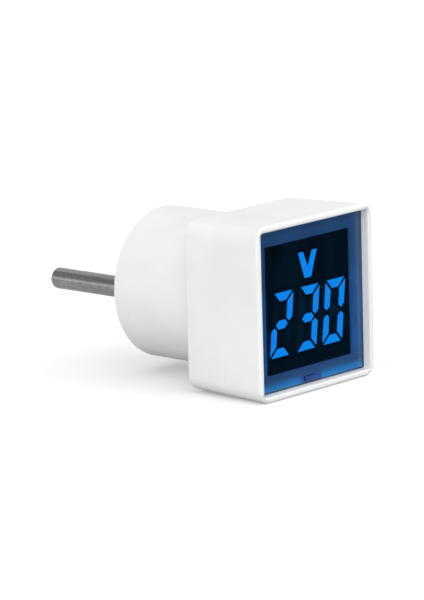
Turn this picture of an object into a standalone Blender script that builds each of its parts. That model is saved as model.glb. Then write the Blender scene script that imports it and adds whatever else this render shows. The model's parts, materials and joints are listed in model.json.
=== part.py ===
"""Plug-in outlet tester: a square display head on a round two-pin plug body.

The origin is the centre of the plug body's rear face, the face that lies on the socket.
+Y points out of that face along the pins, the display faces -Y, +Z is up and +X is to
the right of somebody who reads the display.  Lengths are in metres.
"""

import math

import bmesh
import bpy
from mathutils import Matrix, Vector

MM = 0.001

# ---------------------------------------------------------------- driving dimensions

PIN_DIAMETER = 4.0 * MM
PIN_SPACING = 19.0 * MM
PIN_REACH = 19.0 * MM

BODY_RADIUS = 14.25 * MM
BODY_LENGTH = 19.2 * MM
BODY_WALL = 1.85 * MM
REAR_WALL = 2.2 * MM

HEAD_FRONT = 32.4 * MM
HEAD_BACK = 31.4 * MM
HEAD_DEPTH = 18.0 * MM
HEAD_CORNER = 2.7 * MM
RIM_ROUND = 0.55 * MM
BACK_ROUND = 0.5 * MM

WINDOW = 30.0 * MM
WINDOW_RECESS = 1.65 * MM
LENS_THICKNESS = 0.7 * MM

FACE_WIDTH = 23.3 * MM
FACE_HEIGHT = 23.6 * MM
MODULE_WIDTH = 24.4 * MM

GAP = 0.3 * MM
CLOSE_GAP = 0.2 * MM
OVERCUT = 1.0 * MM

# ---------------------------------------------------------------- planes along Y

Y_REAR = 0.0
Y_HEAD_BACK = -BODY_LENGTH
Y_FRONT = Y_HEAD_BACK - HEAD_DEPTH
Y_LENS_FRONT = Y_FRONT + WINDOW_RECESS
Y_LENS_BACK = Y_LENS_FRONT + LENS_THICKNESS
Y_FACE = Y_LENS_BACK + CLOSE_GAP

LEDGE_THICKNESS = 1.4 * MM
Y_LEDGE_BACK = Y_FACE + LEDGE_THICKNESS
LEDGE_HALF = 12.5 * MM

MASK_THICKNESS = 0.4 * MM
Y_DIFFUSER = Y_FACE + MASK_THICKNESS + CLOSE_GAP
DIFFUSER_THICKNESS = 0.4 * MM
Y_REFLECTOR = Y_DIFFUSER + DIFFUSER_THICKNESS + CLOSE_GAP
Y_REFLECTOR_BACK = -26.7 * MM

BOARD_THICKNESS = 1.2 * MM
BOARD_HALF = 13.5 * MM
Y_BOARD = Y_REFLECTOR_BACK + GAP
Y_BOARD_BACK = Y_BOARD + BOARD_THICKNESS

CAVITY_HALF = 13.8 * MM
SEAT_HALF = 14.7 * MM
FLANGE_HALF = 14.45 * MM
FLANGE_THICKNESS = 2.0 * MM
Y_FLANGE = Y_HEAD_BACK - FLANGE_THICKNESS
Y_SEAT = Y_FLANGE - GAP

BODY_BORE = BODY_RADIUS - BODY_WALL

# ---------------------------------------------------------------- snap fits

TONGUE_LEFT = -1.4 * MM
TONGUE_RIGHT = 1.1 * MM
TONGUE_INNER = 13.75 * MM
TONGUE_OUTER = 14.5 * MM
TONGUE_REACH = 1.5 * MM
TONGUE_BARB_INNER = 13.0 * MM
TONGUE_BARB_START = 0.5 * MM
TONGUE_BARB_END = 1.3 * MM
NOTCH_SIDE_GAP = 0.35 * MM
NOTCH_INNER = 13.2 * MM
NOTCH_OUTER = 14.85 * MM
NOTCH_REACH = 2.2 * MM

ARM_HALF_WIDTH = 4.0 * MM
ARM_INNER = 12.6 * MM
ARM_OUTER = 13.5 * MM
ARM_TIP = -24.7 * MM
ARM_BARB_OUTER = 14.25 * MM
ARM_BARB_BACK = -23.2 * MM
POCKET_OUTER = 14.6 * MM

# ---------------------------------------------------------------- plug body interior

BODY_EDGE = 0.25 * MM
COLLAR_RADIUS = 3.2 * MM
COLLAR_HEIGHT = 1.5 * MM
BOSS_RADIUS = 2.3 * MM
BOSS_HEIGHT = 3.0 * MM
BOSS_PILOT_RADIUS = 1.3 * MM
BOSS_PILOT_EXTRA = 1.2 * MM
RIB_INNER = 9.7 * MM
RIB_OVER_OUTER = 13.0 * MM
RIB_UNDER_OUTER = 12.0 * MM
RIB_THICKNESS = 1.0 * MM
RIB_FRONT = -19.0 * MM
WELD = 0.5 * MM

# ---------------------------------------------------------------- display graphics

DIGIT_PITCH = 7.33 * MM
DIGIT_CENTRE = Vector((-0.07 * MM, -2.96 * MM))
DIGIT_HALF_WIDTH = 2.82 * MM
DIGIT_HALF_HEIGHT = 5.91 * MM
STROKE = 1.6 * MM
SLANT = 0.113
MITRE_GAP = 0.36 * MM
TIP_RISE = 0.38 * MM
TIP_SLOPE = 0.64 * MM

UNIT_CENTRE_X = 0.16 * MM
UNIT_TOP = 9.37 * MM
UNIT_BOTTOM = 4.47 * MM
UNIT_HALF_TOP = 2.64 * MM
UNIT_HALF_FOOT = 0.95 * MM
UNIT_STROKE = 1.44 * MM
UNIT_NOTCH = 6.5 * MM

WINDOW_MARGIN = 0.06 * MM
ISLAND_MARGIN = 0.06 * MM
ISLAND_SUNK = 0.05 * MM
REFLECTOR_CHAMFER = 3.8 * MM
CHIP_HALF = 0.3 * MM
CHIP_THICKNESS = 0.35 * MM
CHIP_STANDOFF = 0.25 * MM

# ---------------------------------------------------------------- fasteners and boards

BOARD_SCREW_OFFSET = 12.1 * MM
BOARD_BOSS_RADIUS = 1.75 * MM
BOARD_SCREW_HOLE = 1.1 * MM
BOARD_PILOT_RADIUS = 1.0 * MM
BOARD_PILOT_DEPTH = 5.2 * MM
BOSS_ROOT_DEPTH = 0.4 * MM
CARRIER_SCREW_OFFSET = 7.5 * MM

POWER_BOARD_TOP = -4.2 * MM
POWER_BOARD_HALF_X = 10.5 * MM
POWER_BOARD_FRONT = -24.2 * MM
POWER_BOARD_BACK = -11.0 * MM
LEAD_RADIUS = 0.3 * MM
LEAD_HOLE = 0.55 * MM
SUPPLY_WIRE_RADIUS = 0.65 * MM

HEADER_PITCH = 2.54 * MM
HEADER_PIN_SIZE = 0.64 * MM
HEADER_Z = POWER_BOARD_TOP + 1.55 * MM
HEADER_BEND_Y = -22.6 * MM
HEADER_WAYS = 4
HEADER_CHANNEL_GAP = 0.12 * MM
TAIL_BELOW_BOARD = 0.8 * MM

# ---------------------------------------------------------------- scene and helpers

ALONG_Y = Matrix.Rotation(-math.pi / 2, 4, "X")
ALONG_X = Matrix.Rotation(math.pi / 2, 4, "Y")
ALONG_Z = Matrix.Identity(4)


def clear_scene():
    for ob in list(bpy.data.objects):
        bpy.data.objects.remove(ob, do_unlink=True)


def new_collection(name):
    collection = bpy.data.collections.new(name)
    bpy.context.scene.collection.children.link(collection)
    return collection


def make_material(name, colour, roughness, metallic=0.0, alpha=1.0, glow=0.0):
    mat = bpy.data.materials.new(name)
    mat.use_nodes = True
    shader = mat.node_tree.nodes["Principled BSDF"]
    shader.inputs["Base Color"].default_value = (*colour, 1.0)
    shader.inputs["Roughness"].default_value = roughness
    shader.inputs["Metallic"].default_value = metallic
    shader.inputs["Alpha"].default_value = alpha
    shader.inputs["Emission Color"].default_value = (*colour, 1.0)
    shader.inputs["Emission Strength"].default_value = glow
    mat.diffuse_color = (*colour, alpha)
    return mat


def link_mesh(name, bm, place=(0, 0, 0), smooth_angle=None):
    """Put a finished bmesh into a new object of the parts collection."""
    bmesh.ops.recalc_face_normals(bm, faces=bm.faces)
    mesh = bpy.data.meshes.new(name)
    bm.to_mesh(mesh)
    bm.free()
    ob = bpy.data.objects.new(name, mesh)
    ob.location = place
    PARTS.objects.link(ob)
    if smooth_angle is not None:
        mesh.shade_smooth()
        mesh.set_sharp_from_angle(angle=math.radians(smooth_angle))
    return ob


def box(name, low, high):
    """A block between two opposite corners."""
    low, high = Vector(low), Vector(high)
    bm = bmesh.new()
    bmesh.ops.create_cube(bm, size=1.0, matrix=Matrix.Diagonal((*(high - low), 1.0)))
    return link_mesh(name, bm, (low + high) / 2)


def cylinder(name, radius, start, length, turn=ALONG_Y, sides=32):
    """A round bar that starts at a point and runs along the turned local Z axis."""
    bm = bmesh.new()
    middle = Matrix.Translation((0, 0, length / 2))
    bmesh.ops.create_cone(
        bm, cap_ends=True, segments=sides, radius1=radius, radius2=radius,
        depth=length, matrix=turn @ middle,
    )
    return link_mesh(name, bm, start, smooth_angle=40)


def turned(name, profile, start, turn=ALONG_Y, steps=32):
    """A solid of revolution. The profile runs from top to bottom as (radius, height)."""
    bm = bmesh.new()
    verts = [bm.verts.new((radius, 0.0, height)) for radius, height in profile]
    for a, b in zip(verts, verts[1:]):
        bm.edges.new((a, b))
    ob = link_mesh(name, bm, start)
    ob.rotation_euler = turn.to_euler()
    screw = ob.modifiers.new("Turn", "SCREW")
    screw.steps = steps
    screw.render_steps = steps
    screw.use_merge_vertices = True
    screw.merge_threshold = 1e-6
    screw.use_smooth_shade = False
    return ob


def prism(name, outline, y_low, y_high):
    """A flat outline in X and Z, drawn out along Y."""
    bm = bmesh.new()
    verts = [bm.verts.new((x, y_low, z)) for x, z in outline]
    face = bm.faces.new(verts)
    drawn = bmesh.ops.extrude_face_region(bm, geom=[face])
    moved = [item for item in drawn["geom"] if isinstance(item, bmesh.types.BMVert)]
    bmesh.ops.translate(bm, verts=moved, vec=(0, y_high - y_low, 0))
    return link_mesh(name, bm)


def wire(name, points, radius, corner_turns=2):
    """A round wire along a list of points, made a closed mesh with welded caps."""
    curve = bpy.data.curves.new(name, "CURVE")
    curve.dimensions = "3D"
    curve.bevel_depth = radius
    curve.bevel_resolution = corner_turns
    curve.use_fill_caps = True
    spline = curve.splines.new("POLY")
    spline.points.add(len(points) - 1)
    for spot, place in zip(spline.points, points):
        spot.co = (*place, 1.0)
    guide = bpy.data.objects.new(name + "_route", curve)
    PARTS.objects.link(guide)
    graph = bpy.context.evaluated_depsgraph_get()
    mesh = bpy.data.meshes.new_from_object(guide.evaluated_get(graph))
    bm = bmesh.new()
    bm.from_mesh(mesh)
    bmesh.ops.remove_doubles(bm, verts=bm.verts, dist=1e-7)
    bpy.data.objects.remove(guide, do_unlink=True)
    bpy.data.meshes.remove(mesh)
    return link_mesh(name, bm, smooth_angle=50)


def smooth_route(corners, count):
    """Points along a Catmull-Rom curve through the route's corners."""
    ends = [corners[0]] + corners + [corners[-1]]
    points = []
    spans = len(corners) - 1
    for i in range(count):
        t = i * spans / (count - 1)
        k = min(int(t), spans - 1)
        f = t - k
        p0, p1, p2, p3 = (Vector(p) for p in ends[k:k + 4])
        points.append(
            0.5 * (2 * p1 + (p2 - p0) * f + (2 * p0 - 5 * p1 + 4 * p2 - p3) * f * f
                   + (3 * p1 - p0 - 3 * p2 + p3) * f ** 3)
        )
    return points


def as_tool(ob):
    """Move an object from the parts to the tools, which shape parts and aren't parts."""
    PARTS.objects.unlink(ob)
    TOOLS.objects.link(ob)
    ob.hide_render = True
    ob.display_type = "WIRE"
    return ob


def combine(target, tools, operation):
    for tool in tools:
        change = target.modifiers.new(tool.name, "BOOLEAN")
        change.operation = operation
        change.solver = "EXACT"
        change.object = as_tool(tool)


def cut(target, *tools):
    combine(target, tools, "DIFFERENCE")


def join(target, *tools):
    combine(target, tools, "UNION")


def join_meshes(name, pieces):
    """One object that holds the separate meshes of several, for use as a single tool."""
    bm = bmesh.new()
    for piece in pieces:
        start = len(bm.verts)
        bm.from_mesh(piece.data)
        bm.verts.ensure_lookup_table()
        bmesh.ops.transform(bm, matrix=piece.matrix_basis, verts=bm.verts[start:])
        bpy.data.objects.remove(piece, do_unlink=True)
    return link_mesh(name, bm)


def finish(ob, mat, smooth=False):
    """Give a piece its material, and its place under the assembly's empty."""
    ob.data.materials.clear()
    ob.data.materials.append(mat)
    ob.parent = ASSEMBLY
    if smooth:
        ob.data.shade_smooth()
        ob.data.set_sharp_from_angle(angle=math.radians(35))
    return ob


# ---------------------------------------------------------------- housing


def drafted_block(name, front, back, corner):
    """The head's outer form: a square block with draft, round long edges and soft rims."""
    bm = bmesh.new()
    bmesh.ops.create_cube(bm, size=1.0)
    for vert in bm.verts:
        at_front = vert.co.y < 0
        width = front if at_front else back
        vert.co.x *= width
        vert.co.z *= width
        vert.co.y = Y_FRONT if at_front else Y_HEAD_BACK
    long_edges = [e for e in bm.edges if e.verts[0].co.y != e.verts[1].co.y]
    bmesh.ops.bevel(bm, geom=long_edges, offset=corner, segments=8, profile=0.5, affect="EDGES")
    for plane, radius, segments in ((Y_FRONT, RIM_ROUND, 4), (Y_HEAD_BACK, BACK_ROUND, 3)):
        rim = [e for e in bm.edges if all(abs(v.co.y - plane) < 1e-7 for v in e.verts)]
        bmesh.ops.bevel(bm, geom=rim, offset=radius, segments=segments, profile=0.5, affect="EDGES")
    return link_mesh(name, bm, smooth_angle=35)


def corner_places(offset):
    return [(x * offset, z * offset) for x in (-1, 1) for z in (-1, 1)]


def side_span(side, inner, outer):
    """The low and high end of a block that lies to one side of the middle."""
    return sorted((side * inner, side * outer))


def head_shell(mat):
    """The square front housing, open at both ends, with the ledge that carries the window."""
    shell = drafted_block("head_shell", HEAD_FRONT, HEAD_BACK, HEAD_CORNER)
    half = WINDOW / 2
    cut(
        shell,
        box("window_opening", (-half, Y_FRONT - OVERCUT, -half), (half, Y_FACE, half)),
        box("ledge_opening", (-LEDGE_HALF, Y_FACE - OVERCUT, -LEDGE_HALF),
            (LEDGE_HALF, Y_LEDGE_BACK + OVERCUT, LEDGE_HALF)),
        box("head_cavity", (-CAVITY_HALF, Y_LEDGE_BACK, -CAVITY_HALF),
            (CAVITY_HALF, Y_SEAT + OVERCUT, CAVITY_HALF)),
        box("flange_seat", (-SEAT_HALF, Y_SEAT, -SEAT_HALF),
            (SEAT_HALF, Y_HEAD_BACK + OVERCUT, SEAT_HALF)),
    )
    boss_root = Y_LEDGE_BACK - BOSS_ROOT_DEPTH
    for i, (x, z) in enumerate(corner_places(BOARD_SCREW_OFFSET)):
        join(shell, cylinder(f"board_boss_{i}", BOARD_BOSS_RADIUS, (x, boss_root, z),
                             Y_BOARD - GAP - boss_root))
        cut(shell, cylinder(f"board_pilot_{i}", BOARD_PILOT_RADIUS,
                            (x, Y_BOARD - BOARD_PILOT_DEPTH, z), BOARD_PILOT_DEPTH + OVERCUT,
                            sides=16))
    cut(shell, box("lens_notch", (TONGUE_LEFT - NOTCH_SIDE_GAP, Y_FACE - OVERCUT, -NOTCH_OUTER),
                   (TONGUE_RIGHT + NOTCH_SIDE_GAP, Y_LEDGE_BACK + NOTCH_REACH, -NOTCH_INNER)))
    for side in (-1, 1):
        low, high = side_span(side, TONGUE_BARB_INNER, POCKET_OUTER)
        cut(shell, box(f"snap_pocket_{side}", (-ARM_HALF_WIDTH - GAP, ARM_TIP - CLOSE_GAP, low),
                       (ARM_HALF_WIDTH + GAP, ARM_BARB_BACK + GAP, high)))
    return finish(shell, mat)


def window_lens(mat):
    """The tinted window: a flat plate with a snap tongue at the middle of its lower edge."""
    half = WINDOW / 2 - GAP
    lens = box("window_lens", (-half, Y_LENS_FRONT, -half), (half, Y_LENS_BACK, half))
    barb_outer = (TONGUE_INNER + TONGUE_OUTER) / 2
    join(
        lens,
        box("lens_tongue", (TONGUE_LEFT, Y_LENS_BACK - CLOSE_GAP, -TONGUE_OUTER),
            (TONGUE_RIGHT, Y_LEDGE_BACK + TONGUE_REACH, -TONGUE_INNER)),
        box("lens_barb", (TONGUE_LEFT, Y_LEDGE_BACK + TONGUE_BARB_START, -barb_outer),
            (TONGUE_RIGHT, Y_LEDGE_BACK + TONGUE_BARB_END, -TONGUE_BARB_INNER)),
    )
    return finish(lens, mat)


def rear_housing(mat):
    """The round plug body with the square flange that closes the back of the head."""
    root = -FLANGE_THICKNESS / 2
    profile = [
        (0.0, BODY_LENGTH),
        (BODY_RADIUS - BODY_EDGE, BODY_LENGTH),
        (BODY_RADIUS, BODY_LENGTH - BODY_EDGE),
        (BODY_RADIUS, root),
        (0.0, root),
    ]
    body = turned("rear_housing", profile, (0, Y_HEAD_BACK, 0), steps=72)
    join(body, box("flange", (-FLANGE_HALF, Y_FLANGE, -FLANGE_HALF),
                   (FLANGE_HALF, Y_HEAD_BACK, FLANGE_HALF)))
    for side in (-1, 1):
        join(body, *snap_arm(side))
    inner = Y_REAR - REAR_WALL
    cut(body, cylinder("body_bore", BODY_BORE, (0, Y_FLANGE - OVERCUT, 0),
                       inner - Y_FLANGE + OVERCUT, sides=64))
    for side in (-1, 1):
        x = side * PIN_SPACING / 2
        z = side * CARRIER_SCREW_OFFSET
        join(
            body,
            cylinder(f"pin_collar_{side}", COLLAR_RADIUS, (x, inner - COLLAR_HEIGHT, 0),
                     COLLAR_HEIGHT + WELD),
            cylinder(f"carrier_boss_{side}", BOSS_RADIUS, (0, inner - BOSS_HEIGHT, z),
                     BOSS_HEIGHT + WELD),
            *board_ribs(side),
        )
        cut(
            body,
            cylinder(f"pin_hole_{side}", PIN_DIAMETER / 2 + GAP, (x, inner - BOSS_HEIGHT, 0),
                     BOSS_HEIGHT + REAR_WALL + OVERCUT),
            cylinder(f"carrier_pilot_{side}", BOSS_PILOT_RADIUS, (0, inner - BOSS_HEIGHT - OVERCUT, z),
                     BOSS_HEIGHT + OVERCUT + BOSS_PILOT_EXTRA, sides=16),
        )
    return finish(body, mat)


def snap_arm(side):
    """A springy arm on the flange, with the barb that catches in the head's pocket."""
    low, high = side_span(side, ARM_INNER, ARM_OUTER)
    arm = box(f"snap_arm_{side}", (-ARM_HALF_WIDTH, ARM_TIP, low),
              (ARM_HALF_WIDTH, Y_FLANGE + WELD, high))
    inset = 0.1 * MM
    low, high = side_span(side, ARM_OUTER - GAP, ARM_BARB_OUTER)
    barb = box(f"snap_barb_{side}", (inset - ARM_HALF_WIDTH, ARM_TIP + inset, low),
               (ARM_HALF_WIDTH - inset, ARM_BARB_BACK, high))
    return arm, barb


def board_ribs(side):
    """The two ribs on one side of the bore that hold the supply board between them."""
    over = POWER_BOARD_TOP + GAP
    under = POWER_BOARD_TOP - BOARD_THICKNESS - GAP
    ribs = []
    for name, bottom, outer in (("over", over, RIB_OVER_OUTER),
                                ("under", under - RIB_THICKNESS, RIB_UNDER_OUTER)):
        left, right = side_span(side, RIB_INNER, outer)
        ribs.append(box(f"rib_{name}_board_{side}", (left, RIB_FRONT, bottom),
                        (right, POWER_BOARD_BACK, bottom + RIB_THICKNESS)))
    return ribs


# ---------------------------------------------------------------- pins and their carrier

Y_COLLAR = Y_REAR - REAR_WALL - COLLAR_HEIGHT
Y_SHOULDER = Y_COLLAR - GAP
SHOULDER_RADIUS = 2.9 * MM
SHOULDER_THICKNESS = 1.2 * MM
Y_CARRIER_BACK = Y_REAR - REAR_WALL - BOSS_HEIGHT - GAP
CARRIER_THICKNESS = 3.0 * MM
Y_CARRIER = Y_CARRIER_BACK - CARRIER_THICKNESS
CARRIER_CUT = 2 * CARRIER_THICKNESS
CARRIER_SCREW_HOLE = 1.5 * MM
TAIL_RADIUS = 1.2 * MM
TAIL_CHAMFER = 0.2 * MM
TAIL_REACH = 2.2 * MM
Y_TAIL = Y_CARRIER - TAIL_REACH
TIP_ROUND = 0.5 * MM
TIP_STEPS = 4


def contact_pin(name, x, mat):
    """A solid round pin with a rounded tip, a clamping shoulder and a thin wire tail."""
    radius = PIN_DIAMETER / 2
    tip = PIN_REACH - Y_TAIL
    arc = []
    for i in range(TIP_STEPS + 1):
        angle = i / TIP_STEPS * math.pi / 2
        arc.append((radius - TIP_ROUND * (1 - math.sin(angle)),
                    tip - TIP_ROUND * (1 - math.cos(angle))))
    shoulder_top = Y_SHOULDER - Y_TAIL
    shoulder_low = shoulder_top - SHOULDER_THICKNESS
    profile = [(0.0, tip)] + arc + [
        (radius, shoulder_top),
        (SHOULDER_RADIUS, shoulder_top),
        (SHOULDER_RADIUS, shoulder_low),
        (TAIL_RADIUS, shoulder_low),
        (TAIL_RADIUS, TAIL_CHAMFER),
        (TAIL_RADIUS - TAIL_CHAMFER, 0.0),
        (0.0, 0.0),
    ]
    return finish(turned(name, profile, (x, Y_TAIL, 0), steps=40), mat, smooth=True)


def pin_carrier(mat):
    """The insulating disc that holds the pins' shoulders against the housing."""
    carrier = cylinder("pin_carrier", BODY_BORE - GAP, (0, Y_CARRIER, 0), CARRIER_THICKNESS,
                       sides=48)
    for side in (-1, 1):
        x = side * PIN_SPACING / 2
        seat = Y_SHOULDER - SHOULDER_THICKNESS - GAP
        cut(
            carrier,
            cylinder(f"tail_hole_{side}", TAIL_RADIUS + GAP, (x, Y_CARRIER - OVERCUT, 0),
                     CARRIER_CUT, sides=24),
            cylinder(f"shoulder_seat_{side}", SHOULDER_RADIUS + GAP, (x, seat, 0),
                     CARRIER_THICKNESS),
            cylinder(f"screw_hole_{side}", CARRIER_SCREW_HOLE,
                     (0, Y_CARRIER - OVERCUT, side * CARRIER_SCREW_OFFSET), CARRIER_CUT, sides=16),
        )
    return finish(carrier, mat)


def self_tapping_screw(name, place, head_radius, head_height, shank_radius, shank_length,
                       mat, outward):
    """A pan-head screw with a cross recess. It starts under its head and runs along outward."""
    turn = ALONG_Y if outward > 0 else Matrix.Rotation(math.pi / 2, 4, "X")
    profile = [
        (0.0, shank_length),
        (0.25 * shank_radius, shank_length),
        (shank_radius, shank_length - 2.0 * shank_radius),
        (shank_radius, 0.0),
        (head_radius, 0.0),
        (head_radius, -0.5 * head_height),
        (0.7 * head_radius, -head_height),
        (0.0, -head_height),
    ]
    screw = turned(name, profile, place, turn=turn, steps=20)
    x, y, z = place
    outer = y - outward * (head_height + OVERCUT)
    inner = y - outward * 0.4 * head_height
    arm, slot = 0.6 * head_radius, 0.13 * head_radius
    depth = sorted((outer, inner))
    cut(
        screw,
        box(name + "_slot_a", (x - arm, depth[0], z - slot), (x + arm, depth[1], z + slot)),
        box(name + "_slot_b", (x - slot, depth[0], z - arm), (x + slot, depth[1], z + arm)),
    )
    return finish(screw, mat)


# ---------------------------------------------------------------- display


def slanted(points, centre):
    """Lean a digit's outline to the right and move it to its place on the display."""
    return [(centre.x + u + SLANT * v, centre.y + v) for u, v in points]


def mirrored(outline, across, up):
    """An outline with its sides swapped where across or up is -1."""
    return [(across * u, up * v) for u, v in outline]


def digit_segments(centre):
    """The seven outlines of one digit, named a to g clockwise from the top."""
    w, h, t, e = DIGIT_HALF_WIDTH, DIGIT_HALF_HEIGHT, STROKE, MITRE_GAP
    top = [(-(w - e), h), (w - e, h), (w - e - t, h - t), (-(w - e - t), h - t)]
    upper = [(w, h - e), (w - t, h - e - t), (w - t, TIP_RISE + TIP_SLOPE),
             (w - t / 2, TIP_RISE), (w, TIP_RISE + TIP_SLOPE)]
    tip, shoulder = w - t / 2 - e, w - t - e
    middle = [(-tip, 0), (-shoulder, t / 2), (shoulder, t / 2),
              (tip, 0), (shoulder, -t / 2), (-shoulder, -t / 2)]
    outlines = {
        "a": top,
        "b": upper,
        "c": mirrored(upper, 1, -1),
        "d": mirrored(top, 1, -1),
        "e": mirrored(upper, -1, -1),
        "f": mirrored(upper, -1, 1),
        "g": middle,
    }
    return {key: slanted(outline, centre) for key, outline in outlines.items()}


def unit_outline():
    """The letter that stands for volts, as one outline."""
    x = UNIT_CENTRE_X
    return [
        (x - UNIT_HALF_TOP, UNIT_TOP),
        (x - UNIT_HALF_TOP + UNIT_STROKE, UNIT_TOP),
        (x, UNIT_NOTCH),
        (x + UNIT_HALF_TOP - UNIT_STROKE, UNIT_TOP),
        (x + UNIT_HALF_TOP, UNIT_TOP),
        (x + UNIT_HALF_FOOT, UNIT_BOTTOM),
        (x - UNIT_HALF_FOOT, UNIT_BOTTOM),
    ]


def all_outlines():
    """Every lit shape of the display, with a name for each."""
    outlines = {"unit": unit_outline()}
    for place, digit in enumerate(("hundreds", "tens", "ones")):
        centre = DIGIT_CENTRE + Vector(((place - 1) * DIGIT_PITCH, 0.0))
        for key, outline in digit_segments(centre).items():
            outlines[f"{digit}_{key}"] = outline
    return outlines


def shrunk(outline, inset):
    """Move every side of an outline inwards by the same distance."""
    area = sum(a[0] * b[1] - b[0] * a[1] for a, b in zip(outline, outline[1:] + outline[:1]))
    turn = 1.0 if area > 0 else -1.0
    count = len(outline)
    moved = []
    for i in range(count):
        before, here, after = (Vector(outline[(i + k - 1) % count]) for k in range(3))
        first = (here - before).normalized()
        second = (after - here).normalized()
        normal_a = Vector((-first.y, first.x)) * turn
        normal_b = Vector((-second.y, second.x)) * turn
        moved.append(here + (normal_a + normal_b) * inset / (1.0 + normal_a.dot(normal_b)))
    return moved


def window_prisms(name, inset, y_low, y_high):
    """All lit shapes as one tool, for windows, islands and light wells."""
    prisms = [
        prism(f"{name}_{key}", shrunk(outline, inset), y_low, y_high)
        for key, outline in all_outlines().items()
    ]
    return join_meshes(name, prisms)


def display_mask(mat):
    """The black face plate with one window for each lit shape."""
    half_x, half_z = FACE_WIDTH / 2, FACE_HEIGHT / 2
    mask = box("display_mask", (-half_x, Y_FACE, -half_z),
               (half_x, Y_FACE + MASK_THICKNESS, half_z))
    cut(mask, window_prisms("mask_windows", -WINDOW_MARGIN, Y_FACE - OVERCUT, Y_FACE + OVERCUT))
    return finish(mask, mat)


def segment_diffuser(mat):
    """The blue light guide: a thin plate with an island standing in each mask window."""
    half = MODULE_WIDTH / 2
    plate = box("segment_diffuser", (-half, Y_DIFFUSER, -half),
                (half, Y_DIFFUSER + DIFFUSER_THICKNESS, half))
    join(plate, window_prisms("diffuser_islands", ISLAND_MARGIN, Y_FACE + ISLAND_SUNK,
                              Y_DIFFUSER + DIFFUSER_THICKNESS / 2))
    return finish(plate, mat)


def display_reflector(mat):
    """The white block behind the face, clear of the corner bosses, with its light wells."""
    half = MODULE_WIDTH / 2
    flat = half - REFLECTOR_CHAMFER
    outline = []
    for sx, sz in ((1, 1), (-1, 1), (-1, -1), (1, -1)):
        pair = [(sx * half, sz * flat), (sx * flat, sz * half)]
        outline += pair if sx * sz > 0 else reversed(pair)
    block = prism("display_reflector", outline, Y_REFLECTOR, Y_REFLECTOR_BACK)
    cut(block, window_prisms("light_wells", 0.0, Y_REFLECTOR - OVERCUT,
                             Y_REFLECTOR_BACK + OVERCUT))
    return finish(block, mat)


def led_chips(mat):
    """One light-emitting chip on the display board at the middle of each light well."""
    top = Y_BOARD - CHIP_STANDOFF
    for key, outline in all_outlines().items():
        x = sum(p[0] for p in outline) / len(outline)
        z = sum(p[1] for p in outline) / len(outline)
        if key == "unit":
            z = (UNIT_NOTCH + UNIT_BOTTOM) / 2
        chip = box("led_chip_" + key, (x - CHIP_HALF, top - CHIP_THICKNESS, z - CHIP_HALF),
                   (x + CHIP_HALF, top, z + CHIP_HALF))
        finish(chip, mat)


# ---------------------------------------------------------------- electronics


def header_places():
    """The X place of each header pin."""
    return [(i - (HEADER_WAYS - 1) / 2) * HEADER_PITCH for i in range(HEADER_WAYS)]


def display_board(mat):
    """The square circuit board behind the display, held by four corner screws."""
    half = BOARD_HALF
    board = box("display_board", (-half, Y_BOARD, -half), (half, Y_BOARD_BACK, half))
    for i, (x, z) in enumerate(corner_places(BOARD_SCREW_OFFSET)):
        cut(board, cylinder(f"board_hole_{i}", BOARD_SCREW_HOLE, (x, Y_BOARD - OVERCUT, z),
                            BOARD_THICKNESS + 2 * OVERCUT, sides=16))
    for i, x in enumerate(header_places()):
        cut(board, box(f"header_slot_{i}", (x - LEAD_HOLE, Y_BOARD - OVERCUT, HEADER_Z - LEAD_HOLE),
                       (x + LEAD_HOLE, Y_BOARD_BACK + OVERCUT, HEADER_Z + LEAD_HOLE)))
    return finish(board, mat)


CONTROLLER_HALF_X = 4.9 * MM
CONTROLLER_LOW = 2.6 * MM
CONTROLLER_HIGH = 6.6 * MM
CONTROLLER_STANDOFF = 0.2 * MM
CONTROLLER_THICKNESS = 1.4 * MM
LEG_PITCH = 1.27 * MM
LEG_HALF = 0.2 * MM
LEG_THICKNESS = 0.35 * MM
LEG_REACH = 1.0 * MM
LEGS_PER_SIDE = 8


def microcontroller(mat):
    """The measuring chip on the back of the display board, a flat block with two rows of legs."""
    foot = Y_BOARD_BACK + CLOSE_GAP
    low = foot + CONTROLLER_STANDOFF
    chip = box("microcontroller", (-CONTROLLER_HALF_X, low, CONTROLLER_LOW),
               (CONTROLLER_HALF_X, low + CONTROLLER_THICKNESS, CONTROLLER_HIGH))
    legs = []
    for i in range(LEGS_PER_SIDE):
        x = (i - (LEGS_PER_SIDE - 1) / 2) * LEG_PITCH
        legs.append(box(f"leg_{i}", (x - LEG_HALF, foot, CONTROLLER_LOW - LEG_REACH),
                        (x + LEG_HALF, foot + LEG_THICKNESS, CONTROLLER_HIGH + LEG_REACH)))
    join(chip, join_meshes("microcontroller_legs", legs))
    return finish(chip, mat)


# Where each component's leads pass through the supply board, as X and Y in millimetres.
LEAD_PLACES = {
    "x2_capacitor": ((-7.0, -14.3), (3.0, -14.3)),
    "electrolytic_capacitor": ((7.2, -20.4), (7.2, -18.4)),
    "fusible_resistor": ((6.7, -14.4), (6.7, -12.0)),
    "zener_diode": ((-4.5, -13.2), (4.5, -13.2)),
    "bleed_resistor": ((-5.0, -17.0), (5.0, -17.0)),
    "voltage_regulator": ((-0.1, -19.4), (1.17, -19.4), (2.44, -19.4)),
    "bridge_rectifier": ((-6.2, -20.3), (-6.2, -17.7), (-1.8, -20.3), (-1.8, -17.7)),
}


def lead_spots(name):
    return [(x * MM, y * MM) for x, y in LEAD_PLACES[name]]


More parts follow.
